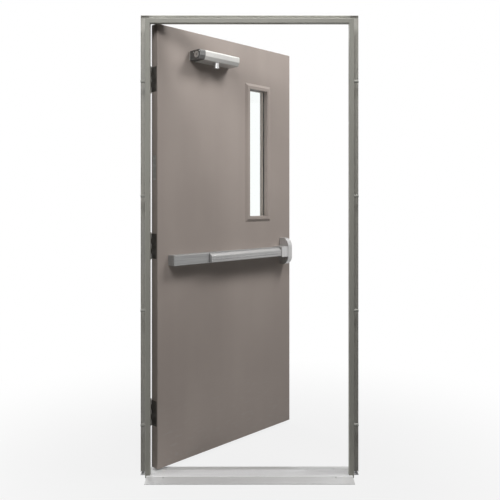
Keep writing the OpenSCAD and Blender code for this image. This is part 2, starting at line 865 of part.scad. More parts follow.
// Outline of the bar or the pad from depth d0 to d1, its front edges rounded
module bar_outline(d0, d1, h, r) {
    polygon(concat([[d0, -h / 2]],
                   bend([d1, -h / 2], [1, 0], [0, 1], r),
                   bend([d1, h / 2], [0, 1], [-1, 0], r),
                   [[d0, h / 2]]));
}

module bar_rail() {
    h = bar_h / 2;
    color("silver") in_leaf() on_push_face(rail_x, bar_z)
        along_leaf(case_x + rail_overlap - rail_x)
            bent_sheet([[rail_d, h], [0, h], [0, -h], [rail_d, -h]], rail_t, rail_bend_r);
}

module bar_cover() {
    leg_z = bar_h / 2 - rail_t - cover_fit - cover_leg_t;
    color("silver") in_leaf() on_push_face(rail_x, bar_z)
        along_leaf(bar_cover_l - end_cap_l)
            union() {
                bar_outline(rail_d, bar_d, bar_h, bar_edge_r);
                for (z = [-leg_z - cover_leg_t, leg_z])
                    translate([rail_d - cover_leg_l, z]) square([cover_leg_l + cut, cover_leg_t]);
            }
}

module bar_end_cap() {
    color("silver") in_leaf() on_push_face(bar_x, bar_z)
        intersection() {
            along_leaf(end_cap_l) bar_outline(0, bar_d, bar_h, bar_edge_r);
            translate([0, bar_h / 2 + cut, 0])
                rotate([90, 0, 0])
                    linear_extrude(bar_h + 2 * cut)
                        polygon(concat([[0, 0], [end_cap_l, 0], [end_cap_l, bar_d]],
                                       bend([0, bar_d], [-1, 0], [0, -1], end_cap_r)));
        }
}

// Middles of the rods along the pad
rod_xs = [for (i = [0:rod_count - 1]) pad_x + pad_l * (i + 0.5) / rod_count];

module rods(r, d0, d1) {
    for (x = rod_xs) translate([x, 0, d0]) cylinder(r = r, h = d1 - d0);
}

module pad_guide() {
    h = guide_h / 2;
    color("gray") in_leaf() on_push_face(0, bar_z)
        difference() {
            translate([pad_x + guide_inset, 0, 0])
                along_leaf(pad_l - 2 * guide_inset)
                    bent_sheet([[rail_t, -h], [guide_d, -h], [guide_d, h], [rail_t, h]],
                               guide_t, rail_bend_r);
            rods(rod_r + rod_fit, guide_d - guide_t - cut, guide_d + cut);
        }
}

module push_pad() {
    color("silver") in_leaf() on_push_face(0, bar_z) {
        difference() {
            translate([pad_x, 0, 0])
                along_leaf(pad_l)
                    difference() {
                        bar_outline(pad_back_d, pad_d, pad_h, bar_edge_r);
                        for (s = [-1, 1])
                            translate([pad_d - groove_depth, s * groove_z - groove_w / 2])
                                square([groove_depth + cut, groove_w]);
                    }
            // Hollow between the end walls, open to the rail
            translate([pad_x + pad_wall, 0, 0])
                along_leaf(pad_l - 2 * pad_wall)
                    bar_outline(pad_back_d - cut, pad_d - pad_wall, pad_h - 2 * pad_wall, rail_bend_r);
        }
        rods(rod_r, guide_d - guide_t - pad_travel, pad_d - pad_wall + cut / 2);
    }
}

// Section of the latch case's tall part, drawn in by inset
module hood_section(inset) {
    r = hood_r - inset;
    intersection() {
        union() {
            for (s = [-1, 1]) translate([hood_arc_d, s * hood_arc_z]) circle(r = r);
            translate([-cut, -hood_h / 2 + inset]) square([hood_arc_d + cut, hood_h - 2 * inset]);
            translate([0, -hood_arc_z]) square([case_d - inset, 2 * hood_arc_z]);
        }
        translate([-cut, -hood_h / 2]) square([case_d + cut, hood_h]);
    }
}

module latch_case() {
    hood_x = case_l - hood_l;
    w = case_wall;
    color("silver") in_leaf() on_push_face(case_x, bar_z)
        difference() {
            union() {
                intersection() {
                    translate([hood_x, 0, 0]) along_leaf(hood_l) hood_section(0);
                    translate([0, -hood_h / 2, 0]) cube([case_l, hood_h, case_d]);
                }
                translate([0, -case_band_h / 2, 0]) cube([hood_x + cut, case_band_h, band_d]);
            }
            // Hollow behind the shell, open to the leaf
            translate([hood_x + w, 0, 0]) along_leaf(hood_l - 2 * w) hood_section(w);
            translate([w, -case_band_h / 2 + w, -cut])
                cube([hood_x + cut, case_band_h - 2 * w, band_d - w + cut]);
            // Way in for the rail
            translate([-cut, -bar_h / 2 - rail_gap, -cut])
                cube([w + 2 * cut, bar_h + 2 * rail_gap, rail_d + rail_gap + cut]);
            // Mouth of the latch
            translate([case_l - w - cut, -latch_h / 2 - latch_fit, latch_rise - latch_fit])
                cube([w + 2 * cut, latch_h + 2 * latch_fit, latch_d + 2 * latch_fit]);
        }
}

module latch_case_base() {
    w = case_wall + case_base_gap;
    hood_x = case_l - hood_l;
    color("gray") in_leaf() on_push_face(case_x, bar_z)
        translate([hood_x + w, -hood_h / 2 + w, 0])
            cube([hood_l - 2 * w, hood_h - 2 * w, case_base_t]);
}

// Bolt with a sloping nose, sliding into the case
module latch_bolt() {
    color("gray") in_leaf() on_push_face(case_x + case_l, bar_z)
        translate([0, latch_h / 2, latch_rise])
            rotate([90, 0, 0])
                linear_extrude(latch_h)
                    polygon([[-latch_tail, 0], [latch_throw, 0], [latch_throw, latch_nose_t],
                             [latch_nose_t, latch_d], [-latch_tail, latch_d]]);
}

hinge_jamb();
strike_jamb();
frame_head();
threshold();
hinge_backing_plates();
left_floor_anchor();
right_floor_anchor();
left_anchor_sleeves();
right_anchor_sleeves();
frame_hinge_leaf(0);  // top_hinge_frame_leaf
frame_hinge_leaf(1);  // middle_hinge_frame_leaf
frame_hinge_leaf(2);  // bottom_hinge_frame_leaf
frame_hinge_pin(0);  // top_hinge_pin
frame_hinge_pin(1);  // middle_hinge_pin
frame_hinge_pin(2);  // bottom_hinge_pin
push_face_sheet();
pull_face_sheet();
fire_core();
top_channel();
bottom_channel();
door_hinge_leaf(0);  // top_hinge_leaf
door_hinge_leaf(1);  // middle_hinge_leaf
door_hinge_leaf(2);  // bottom_hinge_leaf
push_side_lite_frame();
pull_side_lite_frame();
lite_glass();
glazing_tape();
closer_base();
closer_body();
closer_cover();
closer_end_plugs();
closer_spindle();
bar_rail();
bar_cover();
bar_end_cap();
pad_guide();
latch_case();
latch_case_base();
push_pad();
latch_bolt();
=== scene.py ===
import math

import bmesh
import bpy
from mathutils import Matrix, Vector


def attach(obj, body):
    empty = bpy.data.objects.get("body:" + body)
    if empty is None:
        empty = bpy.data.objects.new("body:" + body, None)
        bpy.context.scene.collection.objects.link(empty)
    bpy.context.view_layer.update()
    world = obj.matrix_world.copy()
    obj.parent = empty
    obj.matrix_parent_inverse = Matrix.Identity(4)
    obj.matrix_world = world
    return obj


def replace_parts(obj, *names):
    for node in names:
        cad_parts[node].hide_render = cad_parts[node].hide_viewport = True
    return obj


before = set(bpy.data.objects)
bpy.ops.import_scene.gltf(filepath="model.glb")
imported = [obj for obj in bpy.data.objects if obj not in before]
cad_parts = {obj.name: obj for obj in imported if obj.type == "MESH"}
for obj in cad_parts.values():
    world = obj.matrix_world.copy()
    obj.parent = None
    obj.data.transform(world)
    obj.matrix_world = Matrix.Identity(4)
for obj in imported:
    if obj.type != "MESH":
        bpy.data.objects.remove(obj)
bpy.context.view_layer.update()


# Threshold: an extruded aluminium saddle with grooves along its flat top. It is screwed
# down between the jambs. Brushed lines run its whole length, and its colour is darker down in
# the grooves.
class Wire:
    """What a shader node gives out. A plain sum on it adds its own Math node."""

    def __init__(self, finish, socket):
        self.finish = finish
        self.socket = socket

    def math(self, operation, first, second):
        return self.finish.node("Math", {"operation": operation}, {0: first, 1: second})

    def __add__(self, other):
        return self.math("ADD", self, other)

    def __sub__(self, other):
        return self.math("SUBTRACT", self, other)

    def __mul__(self, other):
        return self.math("MULTIPLY", self, other)

    __radd__ = __add__
    __rmul__ = __mul__

    def __rsub__(self, other):
        return self.math("SUBTRACT", other, self)

    def highest(self, other):
        """The higher of the two."""
        return self.math("MAXIMUM", self, other)

    def between(self, low, high):
        """Rises smoothly from 0 at low to 1 at high, or falls where low is the higher."""
        return self.finish.node(
            "MapRange", {"interpolation_type": "SMOOTHSTEP"},
            {"Value": self, "From Min": low, "From Max": high})


class Finish:
    """A material, or the world, whose nodes are added one at a time."""

    def __init__(self, name, turn=0.0, kind=bpy.data.materials, shader="Principled BSDF"):
        self.material = kind.new(name)
        self.material.use_nodes = True
        self.tree = self.material.node_tree
        self.shader = self.tree.nodes[shader]
        place = self.node("TexCoord", out="Object")
        self.place = self.node(
            "Mapping", {}, {"Vector": place, "Rotation": (0.0, 0.0, turn)})

    def node(self, kind, settings=None, feeds=None, out=0):
        """A node of that kind with its settings, and its sockets fed by name or number."""
        made = self.tree.nodes.new("ShaderNode" + kind)
        for name, value in (settings or {}).items():
            setattr(made, name, value)
        for name, value in (feeds or {}).items():
            self.feed(made.inputs[name], value)
        return Wire(self, made.outputs[out])

    def feed(self, socket, value):
        if isinstance(value, Wire):
            self.tree.links.new(value.socket, socket)
        elif socket.type == "RGBA":
            socket.default_value = (*value, 1.0)
        else:
            socket.default_value = value

    def show(self, **looks):
        """Sets the shader's own sockets, such as base_color or roughness."""
        for name, value in looks.items():
            label = name.replace("_", " ").title().replace("Ior", "IOR")
            self.feed(self.shader.inputs[label], value)

    def grain(self, lumps, detail=3.0, stretch=(1.0, 1.0, 1.0)):
        """Noise with that many lumps a metre, more where an axis is stretched."""
        spread = self.node("Mapping", {}, {"Vector": self.place, "Scale": stretch})
        return self.node("TexNoise", {}, {"Vector": spread, "Scale": lumps, "Detail": detail})

    def axis(self, letter):
        """One coordinate of the surface, in metres."""
        return self.node("SeparateXYZ", {}, {"Vector": self.place}, out=letter)

    def tint(self, mask, low, high):
        """The colour low where the mask is 0, and high where it is 1."""
        return self.node("Mix", {"data_type": "RGBA"}, {0: mask, 6: low, 7: high}, out=2)

    def soft_edge(self, radius):
        """The surface's direction, with its sharp edges rounded to that radius."""
        return self.node("Bevel", {"samples": 8}, {"Radius": radius})

    def edge_mask(self, soft):
        """Near 1 along the sharp edges and 0 on the flats."""
        flat = self.node("NewGeometry", out="Normal")
        match = self.node("VectorMath", {"operation": "DOT_PRODUCT"}, {0: soft, 1: flat},
                          out="Value")
        return match.between(0.995, 0.80)

    def bump(self, height, depth, soft):
        """The direction soft, with hills of the height's shape that are depth high."""
        return self.node("Bump", {}, {"Height": height, "Distance": depth, "Normal": soft})


def coat(finish, *nodes):
    """Puts a finish on nodes of the frame."""
    for name in nodes:
        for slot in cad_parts[name].material_slots:
            slot.material = finish.material


def add_piece(name, shape, finish, body):
    """Makes a piece of a shape's mesh, smooth but for its sharp edges, on one of the bodies."""
    mesh = bpy.data.meshes.new(name)
    shape.to_mesh(mesh)
    shape.free()
    mesh.shade_smooth()
    mesh.set_sharp_from_angle(angle=math.radians(32))
    mesh.materials.append(finish.material)
    piece = bpy.data.objects.new(name, mesh)
    bpy.context.scene.collection.objects.link(piece)
    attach(piece, body)
    return piece


def screw_head(radius, rise):
    """A closed screw head with a cross recess, from the plane Z = 0 up to Z = rise."""
    head = bmesh.new()
    bmesh.ops.create_grid(head, x_segments=6, y_segments=6, size=0.5 * radius,
                          matrix=Matrix.Translation((0, 0, rise)))
    arm = 0.17 * radius
    cross = [f for f in head.faces
             if min(abs(f.calc_center_median().x), abs(f.calc_center_median().y)) < arm]
    sunk = bmesh.ops.extrude_face_region(head, geom=cross)["geom"]
    sunk_verts = [v for v in sunk if isinstance(v, bmesh.types.BMVert)]
    bmesh.ops.translate(head, verts=sunk_verts, vec=(0, 0, -0.45 * radius))
    bmesh.ops.scale(head, verts=sunk_verts, vec=(0.8, 0.8, 1.0))
    square = [e for e in head.edges if e.is_boundary]
    ring = bmesh.ops.create_circle(head, segments=24, radius=0.78 * radius,
                                   matrix=Matrix.Translation((0, 0, rise)))["verts"]
    rim = [e for e in head.edges if e.verts[0] in ring and e.verts[1] in ring]
    bmesh.ops.bridge_loops(head, edges=square + rim)
    for spread, height in ((0.93, 0.7 * rise), (1.0, 0.35 * rise), (1.0, -0.5 * radius)):
        rim = bmesh.ops.extrude_edge_only(head, edges=rim)["geom"]
        verts = [v for v in rim if isinstance(v, bmesh.types.BMVert)]
        rim = [e for e in rim if isinstance(e, bmesh.types.BMEdge)]
        for vert in verts:
            out = Vector((vert.co.x, vert.co.y)).normalized() * spread * radius
            vert.co = (out.x, out.y, height)
    bmesh.ops.holes_fill(head, edges=rim, sides=0)
    bmesh.ops.recalc_face_normals(head, faces=head.faces)
    return head


def stamped(pattern, places):
    """One shape that holds the pattern at each of the places."""
    mesh = bpy.data.meshes.new("pattern")
    pattern.to_mesh(mesh)
    pattern.free()
    shape = bmesh.new()
    for place in places:
        start = len(shape.verts)
        shape.from_mesh(mesh)
        shape.verts.ensure_lookup_table()
        bmesh.ops.transform(shape, matrix=place, verts=shape.verts[start:])
    bpy.data.meshes.remove(mesh)
    return shape


aluminium = Finish("brushed threshold")
brushed = aluminium.grain(60.0, 4.0, stretch=(0.05, 9.0, 9.0))
dust = aluminium.grain(14.0, 5.0, stretch=(0.4, 1.0, 1.0)).between(0.42, 0.72)
# The colour is made darker down in the grooves, below the flat top.
in_grooves = aluminium.axis("Z").between(0.0122, 0.0116)
soft = aluminium.soft_edge(0.0006)
metal = aluminium.tint(brushed.between(0.3, 0.7), (0.86, 0.865, 0.87), (0.95, 0.95, 0.955))
metal = aluminium.tint(dust * 0.22, metal, (0.62, 0.61, 0.59))
metal = aluminium.tint(in_grooves * 0.45, metal, (0.25, 0.245, 0.235))
aluminium.show(
    base_color=metal,
    metallic=0.20,
    roughness=brushed * 0.14 + dust * 0.18 + 0.33,
    normal=aluminium.bump(brushed, 0.0001, soft))
coat(aluminium, "threshold")

sill_h = 0.0127
sill_screw_spot = (0.38, 0.043)
sill_screw_r, sill_screw_rise, sill_screw_sunk = 0.0031, 0.0006, 0.0012
screw_steel = Finish("bright screws")
scratches = screw_steel.grain(900.0, 3.0, stretch=(1.0, 0.2, 1.0))
soft = screw_steel.soft_edge(0.0003)
screw_steel.show(
    base_color=screw_steel.tint(scratches, (0.42, 0.42, 0.42), (0.60, 0.60, 0.59)),
    metallic=0.9,
    roughness=scratches * 0.2 + 0.26,
    normal=screw_steel.bump(scratches, 0.00005, soft))
add_piece(
    "threshold_screws",
    stamped(screw_head(sill_screw_r, sill_screw_rise), [
        Matrix.Translation((x, y, sill_h - sill_screw_sunk))
        @ Matrix.Rotation(x * 40 + y * 9, 4, "Z")
        for x in (-sill_screw_spot[0], sill_screw_spot[0])
        for y in (-sill_screw_spot[1], sill_screw_spot[1])]),
    screw_steel, "frame")


# Frame: two jambs and a head, pressed from one thickness of steel sheet with a stop and a
# rabbet, mitred at the corners and sprayed with one satin grey green coat of paint. Their
# hollow side is coloured a pale zinc, lighter than the paint: partly the bare sheet, and partly
# painted light standing in for light on those recessed bands.
frame_paint = Finish("frame paint")
cloud = frame_paint.grain(3.0, 4.0)
peel = frame_paint.grain(420.0, 2.0)
run = frame_paint.grain(26.0, 4.0, stretch=(1.0, 1.0, 0.06))
soft = frame_paint.soft_edge(0.0012)
worn = frame_paint.edge_mask(soft) * frame_paint.grain(55.0, 4.0).between(0.40, 0.62)
near_floor = frame_paint.axis("Z").between(0.35, 0.02)
scuffed = near_floor * frame_paint.grain(80.0, 6.0, stretch=(1.0, 1.0, 0.25)).between(0.52, 0.68)
tone = frame_paint.tint(cloud.between(0.3, 0.7), (0.300, 0.295, 0.262), (0.328, 0.323, 0.288))
tone = frame_paint.tint(run.between(0.35, 0.75) * 0.3, tone, (0.27, 0.268, 0.24))
tone = frame_paint.tint(worn * 0.5, tone, (0.50, 0.49, 0.46))
tone = frame_paint.tint(scuffed * 0.35, tone, (0.46, 0.45, 0.42))
across = frame_paint.axis("X") * frame_paint.axis("X")
through = frame_paint.axis("Y")
height = frame_paint.axis("Z")
hollow = ((across.between(0.2097, 0.2102) + height.between(2.0330, 2.0334)).between(0.0, 1.0)
          * through.between(0.0494, 0.0491) * through.between(-0.0237, -0.0233)
          * across.between(0.2430, 0.2425) * height.between(2.0676, 2.0670))
# Painted light: the hollow side's pale zinc colour is partly the bare sheet and partly stands in
# for light reaching those recessed bands.
zinc_and_painted_light = frame_paint.grain(90.0, 5.0)
tone = frame_paint.tint(
    hollow, tone, frame_paint.tint(zinc_and_painted_light, (0.41, 0.40, 0.37), (0.54, 0.53, 0.49)))
# Painted light: the head's hollow band is coloured paler still, as the lamps bring less light up
# into it than into the jambs' bands.
tone = frame_paint.tint(
    hollow * height.between(2.0325, 2.0335) * across.between(0.2102, 0.2097), tone,
    (0.66, 0.655, 0.615))
frame_paint.show(
    base_color=tone,
    specular_ior_level=0.25,
    roughness=cloud * 0.10 + scuffed * 0.15 + hollow * 0.12 + 0.42,
    normal=frame_paint.bump(peel, 0.00012, soft))
coat(frame_paint, "hinge_jamb", "strike_jamb", "frame_head")

# Floor anchors and hinge plates welded inside the jambs. They have a bare rolled face
# with dark scale and a few rusty freckles.
rolled_steel = Finish("rolled steel")
scale = rolled_steel.grain(30.0, 6.0).between(0.35, 0.65)
freckles = rolled_steel.grain(190.0, 3.0).between(0.66, 0.74)
soft = rolled_steel.soft_edge(0.0006)
bare = rolled_steel.tint(scale, (0.20, 0.20, 0.205), (0.36, 0.36, 0.365))
rolled_steel.show(
    base_color=rolled_steel.tint(freckles * 0.6, bare, (0.20, 0.085, 0.04)),
    metallic=0.75 - freckles * 0.6,
    roughness=scale * 0.15 + freckles * 0.25 + 0.38,
    normal=rolled_steel.bump(scale, 0.0001, soft))
coat(rolled_steel, "hinge_backing_plates", "left_floor_anchor", "right_floor_anchor")

# Anchor sleeves: tubes welded in behind the stops, four a side, for the anchor bolts to run
# through. They are primed with a brush.
primer = Finish("primed sleeves")
brushed_on = primer.grain(160.0, 5.0)
primer.show(
    base_color=primer.tint(brushed_on, (0.29, 0.29, 0.265), (0.37, 0.37, 0.34)),
    specular_ior_level=0.2,
    roughness=brushed_on * 0.2 + 0.6,
    normal=primer.bump(brushed_on, 0.0001, primer.soft_edge(0.0004)))
coat(primer, "left_anchor_sleeves", "right_anchor_sleeves")

# Anchor bolts: flat cross heads sunk in the holes of the stops, one for each sleeve, and
# painted over with the frame.
half_width = 0.4572
stop_h = 0.0155
anchor_y = -0.00775
anchor_zs = [0.230 + 0.510 * i for i in range(4)]
bolt_r, bolt_rise, bolt_sunk = 0.0048, 0.0008, 0.0014
add_piece(
    "anchor_bolts",
    stamped(screw_head(bolt_r, bolt_rise), [
        Matrix.Translation((side * (half_width - stop_h + bolt_sunk), anchor_y, z))
        @ Matrix.Rotation(-side * math.pi / 2, 4, "Y") @ Matrix.Rotation(z * 7, 4, "Z")
        for side in (-1, 1) for z in anchor_zs]),
    frame_paint, "frame")


# Hinges: three full mortise hinges of five knuckles in darkened steel. Each leaf of a hinge
# is let in flush and held by four countersunk screws.
leaf_turn = math.radians(45)
pin = Vector((-0.4547, 0.05945, 0.0))
leaf_stand = (Matrix.Translation(pin) @ Matrix.Rotation(leaf_turn, 4, "Z")
              @ Matrix.Translation(-pin))
dark_steel = Finish("darkened hinge steel")
rubbed = dark_steel.grain(120.0, 5.0, stretch=(1.0, 1.0, 0.3))
smear = dark_steel.grain(24.0, 4.0).between(0.4, 0.7)
soft = dark_steel.soft_edge(0.0008)
worn = dark_steel.edge_mask(soft) * rubbed.between(0.35, 0.6)
dark = dark_steel.tint(smear, (0.12, 0.112, 0.10), (0.19, 0.18, 0.165))
dark_steel.show(
    base_color=dark_steel.tint(worn * 0.6, dark, (0.34, 0.32, 0.30)),
    metallic=0.5,
    roughness=rubbed * 0.2 + 0.36,
    normal=dark_steel.bump(rubbed, 0.00008, soft))
coat(dark_steel, *[place + "_hinge_" + part for place in ("top", "middle", "bottom")
                   for part in ("frame_leaf", "leaf", "pin")])

hinge_zs = (1.780, 1.0225, 0.265)
hinge_gap = 0.005
hinge_screw_r, hinge_screw_rise = 0.0046, 0.0002
hinge_screws = [(0.0250, -0.0452), (0.0365, -0.0160), (0.0365, 0.0160), (0.0250, 0.0452)]
add_piece(
    "frame_hinge_screws",
    stamped(screw_head(hinge_screw_r, hinge_screw_rise), [
        Matrix.Translation((-half_width, y, z + dz)) @ Matrix.Rotation(math.pi / 2, 4, "Y")
        @ Matrix.Rotation(dz * 30 + z, 4, "Z")
        for z in hinge_zs for y, dz in hinge_screws]),
    dark_steel, "frame")
add_piece(
    "leaf_hinge_screws",
    stamped(screw_head(hinge_screw_r, hinge_screw_rise), [
        leaf_stand @ Matrix.Translation((hinge_gap - half_width, y, z + dz))
        @ Matrix.Rotation(-math.pi / 2, 4, "Y") @ Matrix.Rotation(dz * 50 - z, 4, "Z")
        for z in hinge_zs for y, dz in hinge_screws]),
    dark_steel, "leaf")


# Leaf: two steel face sheets folded to a seam along both edges, on a honeycomb core with a
# channel at top and bottom. It is sprayed a warm grey and shows faint waves in the sheet,
# which are also painted a little darker into its colour as painted shade.
door_paint = Finish("door paint", turn=-leaf_turn)
cloud = door_paint.grain(2.4, 4.0)
peel = door_paint.grain(380.0, 2.0)
waves = door_paint.grain(7.0, 2.0, stretch=(1.0, 1.0, 0.12))
soft = door_paint.soft_edge(0.0012)
worn = door_paint.edge_mask(soft) * door_paint.grain(48.0, 4.0).between(0.38, 0.60)
near_floor = door_paint.axis("Z").between(0.50, 0.03)
scuffs = door_paint.grain(70.0, 6.0, stretch=(0.3, 1.0, 1.0)).between(0.56, 0.72)
tone = door_paint.tint(cloud.between(0.3, 0.7), (0.350, 0.302, 0.273), (0.381, 0.330, 0.299))
# Painted shade: the colour is made a little darker along the waves.
tone = door_paint.tint(waves.between(0.35, 0.65) * 0.35, tone, (0.325, 0.280, 0.253))
tone = door_paint.tint(worn * 0.45, tone, (0.50, 0.46, 0.43))
tone = door_paint.tint(near_floor * scuffs * 0.35, tone, (0.40, 0.37, 0.35))
door_paint.show(
    base_color=tone,
    specular_ior_level=0.14,
    roughness=cloud * 0.10 + scuffs * 0.06 + 0.40,
    normal=door_paint.bump(
        waves, 0.0006, door_paint.bump(peel, 0.00014, soft)))
coat(door_paint, "push_face_sheet", "pull_face_sheet", "top_channel", "bottom_channel",
     "push_side_lite_frame", "pull_side_lite_frame")

# Core: strips of brown card glued into small cells between the two face sheets. It shows
# only where the leaf is cut for the glass.
card = Finish("honeycomb card", turn=-leaf_turn)
# Painted shade: the hollows of the cells are coloured dark brown, with the card walls light
# brown between them.
cells = card.node("TexVoronoi", {"feature": "DISTANCE_TO_EDGE"},
                  {"Vector": card.place, "Scale": 70.0}).between(0.0, 0.06)
fibre = card.grain(600.0, 4.0)
card.show(
    base_color=card.tint(cells, card.tint(fibre, (0.50, 0.40, 0.27), (0.62, 0.51, 0.36)),
                         (0.22, 0.17, 0.11)),
    roughness=fibre * 0.1 + 0.82,
    normal=card.bump(cells, 0.002, card.soft_edge(0.0006)))
coat(card, "fire_core")


# Plate on the hinge edge: a bare strip of thin metal with rounded corners, held on the
# edge of the leaf by two rivets.
def pull(shape, faces, by):
    """Extrudes faces of a shape and moves the new ones by a vector."""
    pulled = bmesh.ops.extrude_face_region(shape, geom=faces)["geom"]
    bmesh.ops.translate(shape, verts=[v for v in pulled if isinstance(v, bmesh.types.BMVert)],
                        vec=by)


plate_w, plate_h, plate_t = 0.023, 0.112, 0.0004
plate_corner_r = 0.003
rivet_r, rivet_inset = 0.0016, 0.006
plate_y, plate_z = 0.0282, 1.378
plate = bmesh.new()
bmesh.ops.create_grid(plate, x_segments=1, y_segments=1, size=0.5,
                      matrix=Matrix.Diagonal((plate_h, plate_w, 1.0, 1.0)))
bmesh.ops.bevel(plate, geom=plate.verts[:], offset=plate_corner_r, segments=4, profile=0.5,
                affect="VERTICES", material=-1)
pull(plate, plate.faces[:], (0, 0, plate_t))
bmesh.ops.recalc_face_normals(plate, faces=plate.faces)
for end in (-1, 1):
    bmesh.ops.create_uvsphere(
        plate, u_segments=16, v_segments=8, radius=rivet_r,
        matrix=Matrix.Translation((end * (plate_h / 2 - rivet_inset), 0, plate_t))
        @ Matrix.Diagonal((1.0, 1.0, 0.35, 1.0)))
plate.transform(leaf_stand @ Matrix.Translation((hinge_gap - half_width, plate_y, plate_z))
                @ Matrix.Rotation(-math.pi / 2, 4, "Y"))
dull_plate = Finish("dull plate", turn=-leaf_turn)
rolled = dull_plate.grain(500.0, 3.0, stretch=(1.0, 1.0, 0.08))
stain = dull_plate.grain(60.0, 5.0).between(0.4, 0.7)
dull_plate.show(
    base_color=dull_plate.tint(stain, (0.36, 0.35, 0.33), (0.48, 0.47, 0.445)),
    metallic=0.5,
    roughness=rolled * 0.2 + 0.4,
    normal=dull_plate.bump(rolled, 0.00004, dull_plate.soft_edge(0.0002)))
add_piece("edge_plate", plate, dull_plate, "leaf")


# Vision panel: one pane of fire glass on dark tape between two sloped steel frames, which
# are painted with the leaf.
glass = Finish("clear pane", turn=-leaf_turn)
wiped = glass.grain(9.0, 4.0, stretch=(1.0, 1.0, 0.4)).between(0.45, 0.75)
glass.show(
    base_color=(0.94, 0.975, 0.96),
    roughness=wiped * 0.03 + 0.01,
    transmission_weight=1.0,
    normal=glass.bump(glass.grain(3.0, 1.0), 0.0002, glass.soft_edge(0.0004)))
coat(glass, "lite_glass")
tape = Finish("glazing tape", turn=-leaf_turn)
foam = tape.grain(1400.0, 3.0)
tape.show(
    base_color=tape.tint(foam, (0.016, 0.016, 0.017), (0.040, 0.040, 0.041)),
    roughness=foam * 0.15 + 0.75,
    normal=tape.bump(foam, 0.0003, tape.soft_edge(0.0005)))
coat(tape, "glazing_tape")


# Closer: a cast body with a rack and a spindle in it, on a plate, under a folded cover that
# is painted silver. The body's left end stays open for its plug and its two valves.
silver_paint = Finish("silver paint", turn=-leaf_turn)
flake = silver_paint.grain(2600.0, 2.0)
cloud = silver_paint.grain(16.0, 3.0)
soft = silver_paint.soft_edge(0.0010)
worn = silver_paint.edge_mask(soft) * silver_paint.grain(150.0, 4.0).between(0.45, 0.65)
tone = silver_paint.tint(flake.between(0.3, 0.7), (0.57, 0.565, 0.54), (0.67, 0.66, 0.635))
silver_paint.show(
    base_color=silver_paint.tint(worn * 0.4, tone, (0.75, 0.74, 0.72)),
    metallic=0.25,
    roughness=cloud * 0.12 + 0.36,
    normal=silver_paint.bump(flake, 0.00003, soft))
coat(silver_paint, "closer_base", "closer_cover")

# The cast body is coloured dark grey, partly its own colour and partly painted shade, as its
# open left end lies in shade.
cast_and_shade = Finish("cast body", turn=-leaf_turn)
pits = cast_and_shade.grain(700.0, 4.0)
cloud = cast_and_shade.grain(30.0, 4.0)
soft = cast_and_shade.soft_edge(0.0012)
worn = cast_and_shade.edge_mask(soft) * cloud.between(0.35, 0.6)
tone = cast_and_shade.tint(cloud, (0.11, 0.11, 0.108), (0.18, 0.18, 0.176))
cast_and_shade.show(
    base_color=cast_and_shade.tint(worn * 0.6, tone, (0.50, 0.50, 0.49)),
    metallic=0.45,
    roughness=pits * 0.2 + 0.42,
    normal=cast_and_shade.bump(pits, 0.00025, soft))
coat(cast_and_shade, "closer_body")

turned_steel = Finish("turned steel", turn=-leaf_turn)
lathe = turned_steel.grain(1500.0, 2.0, stretch=(0.3, 0.3, 1.0))
soft = turned_steel.soft_edge(0.0005)
turned_steel.show(
    base_color=turned_steel.tint(lathe, (0.48, 0.48, 0.475), (0.66, 0.66, 0.65)),
    metallic=0.85,
    roughness=lathe * 0.18 + 0.24,
    normal=turned_steel.bump(lathe, 0.00004, soft))
coat(turned_steel, "closer_end_plugs", "closer_spindle")

hinge_edge_x = hinge_gap - half_width
push_face_y = 0.006
closer_x = hinge_edge_x + 0.186
closer_z = 1.911
valve_r, valve_rise = 0.0034, 0.0012
valve_spots = ((0.030, 0.012), (0.070, 0.015))
add_piece(
    "closer_valves",
    stamped(screw_head(valve_r, valve_rise), [
        leaf_stand @ Matrix.Translation((closer_x, push_face_y - out, closer_z + up))
        @ Matrix.Rotation(-math.pi / 2, 4, "Y") @ Matrix.Rotation(out * 20, 4, "Z")
        for out, up in valve_spots]),
    turned_steel, "leaf")


# Push bar: a rail folded from sheet and fixed to the leaf, a plain cover in its hinge end
# with a cast cap, and a hollow pad that slides on rods. All show fine lines along the bar.
def satin_silver(name, dull, bright):
    """A brushed silver finish between two tones, with lines along the bar."""
    satin = Finish(name, turn=-leaf_turn)
    lines = satin.grain(300.0, 3.0, stretch=(0.02, 1.0, 1.0))
    cloud = satin.grain(8.0, 4.0, stretch=(0.3, 1.0, 1.0))
    soft = satin.soft_edge(0.0012)
    worn = satin.edge_mask(soft) * satin.grain(90.0, 4.0).between(0.40, 0.62)
    tone = satin.tint(lines.between(0.25, 0.75), dull, bright)
    tone = satin.tint(cloud.between(0.45, 0.75) * 0.2, tone, (0.28, 0.275, 0.27))
    satin.show(
        base_color=satin.tint(worn * 0.6, tone, (0.78, 0.77, 0.75)),
        metallic=0.35,
        roughness=lines * 0.16 + 0.36,
        normal=satin.bump(lines, 0.00005, soft))
    return satin


satin = satin_silver("satin silver", (0.30, 0.298, 0.295), (0.38, 0.378, 0.374))
satin_pad = satin_silver("satin pad", (0.37, 0.365, 0.36), (0.46, 0.455, 0.45))
coat(satin, "bar_rail", "bar_cover", "bar_end_cap")

